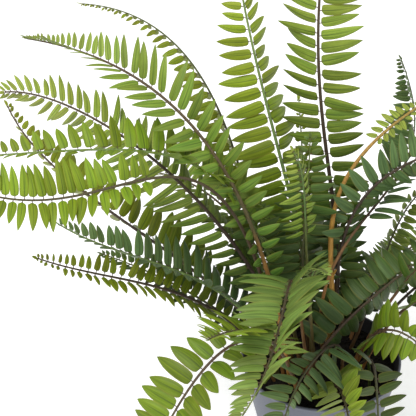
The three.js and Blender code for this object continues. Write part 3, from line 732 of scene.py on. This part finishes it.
class Leafage:
    # The blades of one frond, gathered as one mesh with what its finish needs to know
    def __init__(self):
        self.points, self.faces, self.leafMap = [], [], []
        self.growth, self.tint, self.underneath, self.crown = [], [], [], []

    def add(self, grid, above, sign, share, tint, shadow):
        solid, underIds = bladeSolid(grid, above)
        rows, columns = grid.shape[:2]
        first = len(self.points)
        self.points.extend(solid)
        for face in bladeFaces(rows, columns, underIds):
            order = face if sign > 0 else face[::-1]
            self.faces.append(tuple(first + int(k) for k in order))
        # Across the blade from 0 to 1, and along it from the stalk to the tip
        across = [(c + 1) / 2 for c in bladeColumns]
        along = [0.0, 0.04] + [0.05 + 0.95 * point[0] for point in bladeOutline]
        for i in range(rows):
            for j in range(columns):
                edge = i in (0, rows - 1) or j in (0, columns - 1)
                self.leafMap.append((across[j], along[i]))
                self.underneath.append(0.5 if edge else 0.0)
        for i in range(1, rows - 1):
            for j in range(1, columns - 1):
                self.leafMap.append((across[j], along[i]))
                self.underneath.append(1.0)
        self.growth.extend([share] * len(solid))
        self.tint.extend([tint] * len(solid))
        self.crown.extend([shadow] * len(solid))

    def makeMesh(self, row, frondTint):
        finish = finishes[row["leaf"]]
        piece = makePiece(row["name"] + "_leaflets", self.points, self.faces, finish, sharpAngle=60)
        giveValues(piece, "growth", self.growth)
        giveValues(piece, "leafletTint", self.tint)
        giveValues(piece, "underneath", self.underneath)
        giveValues(piece, "crown", self.crown)
        giveValues(piece, "frondTint", [frondTint] * len(self.points))
        leafMap = piece.data.uv_layers.new(name="leafMap")
        corners = np.empty(len(piece.data.loops), dtype=np.int32)
        piece.data.loops.foreach_get("vertex_index", corners)
        leafMap.data.foreach_set("uv", np.asarray(self.leafMap, dtype=np.float32)[corners].ravel())
        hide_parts(row["name"])
        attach(piece, "root")


def crownShadow(row, at):
    # How much painted shade a blade gets: 1 in the middle of the plant, 0 outside it
    depth = np.linalg.norm(at - np.array(crownShade["centre"]))
    shadow = (crownShade["end"] - depth) / (crownShade["end"] - crownShade["start"])
    return min(1.0, max(0.0, shadow)) * row.get("shade", 1.0)


def clearestSeat(curve, share, leafy, sign, fold, lean, turn, shape):
    # Tries the blade at one fold after the other, and keeps the first that touches nothing, or else
    # the one that touches least
    best = None
    for extra in blade["folds"]:
        seat = seatOf(curve, share, leafy, sign, fold + extra, lean, turn)
        grid = bladeGrid(seat, *shape)
        tests = grid[3:, ::2].reshape(-1, 3)
        score = thicket.crossings(tests, curve.row["name"]) + 3 * sum(insidePot(p) for p in tests)
        if best is None or score < best[0]:
            best = (score, seat, grid)
        if score == 0:
            break
    return best[1], best[2]


def growFrond(row, rng):
    curve, leafage = FrondCurve(row), Leafage()
    frondTint, phase = rng.random(), rng.uniform(0, 6)
    oval, jitter = row.get("oval", blade["oval"]), blade["lengthJitter"]
    for i in range(row["pairs"]):
        pitch = (curve.station(i + 1) - curve.station(i)) * curve.length
        for sign in (1, -1):
            stagger = sign * blade["stagger"] * pitch / curve.length
            share = (curve.station(i) + curve.station(i + 1)) / 2 + stagger
            leafy = min(1.0, max(0.0, (share - row["bare"]) / (1 - row["bare"])))
            length = curve.leafletLength(leafy) * rng.uniform(1 - jitter, 1 + jitter)
            room = blade["widthOfPitch"] * pitch * row.get("wide", 1.0)
            most = row.get("broad", blade["widthOfLength"]) * length + blade["leastWidth"]
            width = min(room, most) * rng.uniform(*blade["widthJitter"])
            width *= 1 + row.get("flare", 0.0) * (1 - leafy) ** 2
            # Neighbours lean and lift together in slow waves, and each one differs a little too
            wave = 0.75 * i + phase + 1.3 * sign
            fold = blade["foldJitter"] * (0.6 * rng.gauss(0, 1) + 0.6 * math.sin(wave))
            lean = blade["leanJitter"] * (0.6 * rng.gauss(0, 1) + 0.6 * math.cos(0.8 * wave))
            turn = blade["turnJitter"] * (0.6 * rng.gauss(0, 1) + 0.5 * math.sin(1.7 * wave))
            turn += row.get("turn", 0)
            shape = (length, width, rng.uniform(*blade["curl"]), oval)
            seat, grid = clearestSeat(curve, share, leafy, sign, fold, lean, turn, shape)
            leafage.add(grid, seat[3], sign, share, rng.random(), crownShadow(row, seat[0]))
            thicket.add(grid[3:, ::2].reshape(-1, 3), row["name"], blade["clear"])
    # The single leaflet at the very end
    share = 1 - stalkShape["endLeaflet"] / curve.length
    at, along, side, face = curve.frame(share)
    length, width = stalkShape["endLeaflet"] * 0.92, stalkShape["endWidth"]
    grid = bladeGrid((at, along, side, face), length, width, 0.4, oval)
    leafage.add(grid, face, 1, 1.0, rng.random(), crownShadow(row, at))
    leafage.makeMesh(row, frondTint)
    return curve, len(leafage.faces)


def makeStalk(curve, rng):
    row = curve.row
    points, faces, growth = [], [], []
    sides = stalkShape["sides"]
    end = 1 - stalkShape["endLeaflet"] * 0.9 / curve.length
    count = max(24, round(curve.length / stalkShape["step"]))
    for i in range(count + 1):
        share = end * i / count
        at, along, side, face = curve.frame(share)
        half = curve.halfWidth(share) * (1 + stalkShape["uneven"] * rng.gauss(0, 1) * (share < row["bare"]))
        for k in range(sides):
            turn = 2 * math.pi * k / sides
            # A shallow groove runs along the face of the leafy stretch
            off = math.atan2(math.sin(turn), math.cos(turn)) / 0.5
            groove = stalkShape["groove"] * math.exp(-off ** 2) * (share > row["bare"])
            radius = half * (1.0 - groove)
            points.append(at + face * math.cos(turn) * radius * 0.92 - side * math.sin(turn) * radius)
            growth.append(share)
    for i in range(count):
        for k in range(sides):
            a, b = i * sides + k, i * sides + (k + 1) % sides
            faces.append((a, a + sides, b + sides, b))
    faces.append(tuple(range(sides)))
    faces.append(tuple(count * sides + k for k in reversed(range(sides))))
    for stub in row.get("stubs", ()):
        addStub(curve, stub, points, faces, growth)
    piece = makePiece(row["name"] + "_stalk", points, faces, stalks[row["stalk"]], sharpAngle=70)
    giveValues(piece, "growth", growth)
    giveValues(piece, "leafyFrom", [row.get("darkFrom", row["bare"])] * len(points))
    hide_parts(row["name"])
    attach(piece, "root")
    return len(faces)


def addStub(curve, stub, points, faces, growth):
    # A short cut-off shoot on the bare stalk
    share, turn, lean = stub
    at, along, side, face = curve.frame(share)
    turn, lean = math.radians(turn), math.radians(lean)
    away = side * math.cos(turn) - face * math.sin(turn)
    way = along * math.cos(lean) + away * math.sin(lean)
    wide = np.cross(way, side)
    wide = wide / np.linalg.norm(wide)
    deep = np.cross(wide, way)
    sides, first = 8, len(points)
    rings = stalkShape["stubRings"]
    for reach, half in rings:
        for k in range(sides):
            spin = 2 * math.pi * k / sides
            out = (wide * math.cos(spin) + deep * math.sin(spin)) * half * mm
            points.append(at + way * reach * stalkShape["stubLength"] + out)
            growth.append(share)
    for i in range(len(rings) - 1):
        for k in range(sides):
            a, b = first + i * sides + k, first + i * sides + (k + 1) % sides
            faces.append((a, b, b + sides, a + sides))
    faces.append(tuple(first + k for k in reversed(range(sides))))
    faces.append(tuple(first + (len(rings) - 1) * sides + k for k in range(sides)))


def leafFinish(name, look):
    finish, tree, shader = newFinish(name + "Leaf")
    spot = addNode(tree, "ShaderNodeTexCoord").outputs["Object"]
    leafMap = addNode(tree, "ShaderNodeUVMap", uv_map="leafMap").outputs["UV"]
    parts = addNode(tree, "ShaderNodeSeparateXYZ", {0: leafMap})
    x, y = parts.outputs["X"], parts.outputs["Y"]
    tint = vertexValue(tree, "leafletTint")
    # Distance from the midrib: 0 on it, 1 at the edge
    off = sums(tree, "ABSOLUTE", sums(tree, "MULTIPLY_ADD", x, 2.0, -1.0))
    growth = vertexValue(tree, "growth")
    # Darker towards the foot of the frond, partly the leaves' own colour and partly painted shade
    tone = ramp(tree, growth, [(0.25, look["foot"]), (0.72, look["middle"]), (1.0, look["tip"])])
    # Streaks run the length of a blade and differ from blade to blade
    streakPlace = addNode(tree, "ShaderNodeCombineXYZ", {
        0: sums(tree, "MULTIPLY", x, 7.0), 1: sums(tree, "MULTIPLY", y, 0.9),
        2: sums(tree, "MULTIPLY", tint, 60.0)})
    streak = noise(tree, streakPlace.outputs[0], 1.0, 2.5)
    patch = noise(tree, spot, 55, 3)
    tone = mixColour(tree, rescale(tree, streak, 0.4, 0.72, 0.0, 0.6), tone, look["foot"])
    tone = mixColour(tree, rescale(tree, streak, 0.5, 0.28, 0.0, 0.35), tone, look["tip"])
    # Each blade is brighter or darker at random, partly its own tone and partly painted sheen
    bright = rescale(tree, tint, 0, 1, *leafSkin["bladeToBlade"])
    bright = sums(tree, "ADD", bright, rescale(tree, patch, 0.3, 0.7, -0.08, 0.08))
    frondTint = rescale(tree, vertexValue(tree, "frondTint"), 0, 1, *leafSkin["frondToFrond"])
    bright = sums(tree, "MULTIPLY", bright, frondTint)
    hue = rescale(tree, tint, 0, 1, *leafSkin["hue"])
    shift = addNode(tree, "ShaderNodeHueSaturation", {"Hue": hue, "Value": bright, "Color": tone})
    tone = shift.outputs["Color"]
    # The midrib is a dark line that fades towards the tip, and the edge is tan
    rib = rescale(tree, off, 0.04, 0.13, 1, 0, smooth=True)
    rib = sums(tree, "MULTIPLY", rib, rescale(tree, y, 0.1, 0.9, 0.68, 0.15))
    tone = mixColour(tree, rib, tone, leafSkin["rib"])
    tone = mixColour(tree, rescale(tree, off, 0.76, 1.0, 0, 0.45), tone, leafSkin["tanEdge"])
    below = sums(tree, "GREATER_THAN", vertexValue(tree, "underneath"), 0.501)
    tone = mixColour(tree, sums(tree, "MULTIPLY", below, 0.6), tone, look["under"])
    # Painted shade darkens the leaflets deep in the plant, and each one's stem is brown
    shadow = sums(tree, "MULTIPLY", vertexValue(tree, "crown"), crownShade["share"])
    tone = mixColour(tree, shadow, tone, crownShade["tone"])
    tone = mixColour(tree, rescale(tree, y, 0.04, 0.06, 1, 0), tone, leafSkin["stem"])
    # Fine side veins slant from the midrib to the edge
    slant = sums(tree, "MULTIPLY", off, -9.0)
    vein = sums(tree, "SINE", sums(tree, "MULTIPLY_ADD", y, leafSkin["veins"], slant))
    height = sums(tree, "ADD", sums(tree, "MULTIPLY", streak, 1.2), sums(tree, "MULTIPLY", vein, 0.12))
    height = sums(tree, "SUBTRACT", height, sums(tree, "MULTIPLY", rib, 0.5))
    roughness = rescale(tree, streak, 0.3, 0.7, *leafSkin["roughness"])
    dress(tree, shader, tone, roughness, leafSkin["specular"], height, leafSkin["relief"], 0.6 * mm)
    return finish


def stalkFinish(name, look):
    finish, tree, shader = newFinish(name + "Stalk")
    spot = addNode(tree, "ShaderNodeTexCoord").outputs["Object"]
    reach = sums(tree, "SUBTRACT", vertexValue(tree, "growth"), vertexValue(tree, "leafyFrom"))
    stretched = addNode(tree, "ShaderNodeMapping", {"Vector": spot, "Scale": (1.0, 1.0, 0.16)}).outputs[0]
    fibre = noise(tree, stretched, 700, 3, 0.6)
    # Cloudy borders between the colours, which follow the stalk upwards
    cloud = rescale(tree, noise(tree, spot, 60, 2), 0.3, 0.7, -0.05, 0.05)
    place = sums(tree, "ADD", sums(tree, "MULTIPLY_ADD", reach, 0.8, 0.4), cloud)
    stops = [(0.2, look["root"]), (0.38, look["foot"]), (0.5, look["middle"]), (0.95, look["tip"])]
    tone = ramp(tree, place, stops)
    dark = rescale(tree, fibre, 0.35, 0.7, 0.0, 0.45)
    tone = mixColour(tree, dark, tone, stalkShape["fibre"], "MULTIPLY")
    roughness = rescale(tree, fibre, 0.3, 0.7, *stalkShape["roughness"])
    dress(tree, shader, tone, roughness, stalkShape["specular"], fibre, 0.5, 0.5 * mm)
    return finish


makePot()
makeSoil()

finishes = {name: leafFinish(name, look) for name, look in leafFinishes.items()}
stalks = {name: stalkFinish(name, look) for name, look in stalkFinishes.items()}
for row in fronds:
    curve = FrondCurve(row)
    spots = curve.point(np.linspace(0, 1, math.ceil(curve.length / (2 * mm))))
    thicket.add(spots, row["name"], stalkShape["wide"] + blade["clear"])

faceCount = 0
for number, row in enumerate(fronds):
    rng = random.Random(blade["seed"] + number)
    curve, bladeCount = growFrond(row, rng)
    faceCount += bladeCount + makeStalk(curve, rng)
print("fronds made,", faceCount, "faces")


# Floor, light and camera

studio = {
    "floorSize": 9.0, "floorColour": (0.9, 0.9, 0.9, 1.0), "floorGlow": 0.4, "sky": 0.61,
    "keyPlace": (-1.2, -1.3, 3.0), "keySize": 1.3, "keyPower": 82,
    "fillPlace": (1.8, -1.6, 1.9), "fillSize": 2.2, "fillPower": 16, "aim": (0.0, 0.0, 0.3),
    "cameraPlace": (-0.113, -1.1455, 1.1227), "cameraTilt": 55, "lens": 130,
}


def softLight(name, place, size, power):
    lamp = bpy.data.lights.new(name, "AREA")
    lamp.size = size
    lamp.energy = power
    thing = bpy.data.objects.new(name, lamp)
    bpy.context.collection.objects.link(thing)
    thing.location = place
    aim = np.array(studio["aim"]) - np.array(place)
    flat = math.hypot(aim[0], aim[1])
    thing.rotation_euler = (math.atan2(flat, -aim[2]), 0, math.atan2(aim[1], aim[0]) - math.pi / 2)


def makeStudio():
    half = studio["floorSize"] / 2
    mesh = bpy.data.meshes.new("studioFloor")
    corners = [(x * half, y * half, -0.5 * mm) for x, y in ((-1, -1), (1, -1), (1, 1), (-1, 1))]
    mesh.from_pydata(corners, [], [(0, 1, 2, 3)])
    finish, tree, shader = newFinish("palePaper")
    shader.inputs["Base Color"].default_value = studio["floorColour"]
    shader.inputs["Roughness"].default_value = 0.9
    shader.inputs["Specular IOR Level"].default_value = 0.1
    shader.inputs["Emission Color"].default_value = (1.0, 1.0, 1.0, 1.0)
    shader.inputs["Emission Strength"].default_value = studio["floorGlow"]
    mesh.materials.append(finish)
    floor = bpy.data.objects.new("studioFloor", mesh)
    bpy.context.collection.objects.link(floor)

    sky = bpy.data.worlds.new("softSky")
    sky.use_nodes = True
    glow = sky.node_tree.nodes["Background"].inputs
    glow["Color"].default_value = (1.0, 1.0, 1.0, 1.0)
    glow["Strength"].default_value = studio["sky"]
    bpy.context.scene.world = sky
    softLight("keyLight", studio["keyPlace"], studio["keySize"], studio["keyPower"])
    softLight("fillLight", studio["fillPlace"], studio["fillSize"], studio["fillPower"])

    lens = bpy.data.cameras.new("photoCamera")
    lens.lens = studio["lens"]
    lens.sensor_width = 36
    camera = bpy.data.objects.new("photoCamera", lens)
    camera.location = studio["cameraPlace"]
    camera.rotation_euler = (math.radians(studio["cameraTilt"]), 0, 0)
    bpy.context.collection.objects.link(camera)
    bpy.context.scene.camera = camera
    bpy.context.scene.view_settings.view_transform = "Standard"
    print("studio made")


makeStudio()
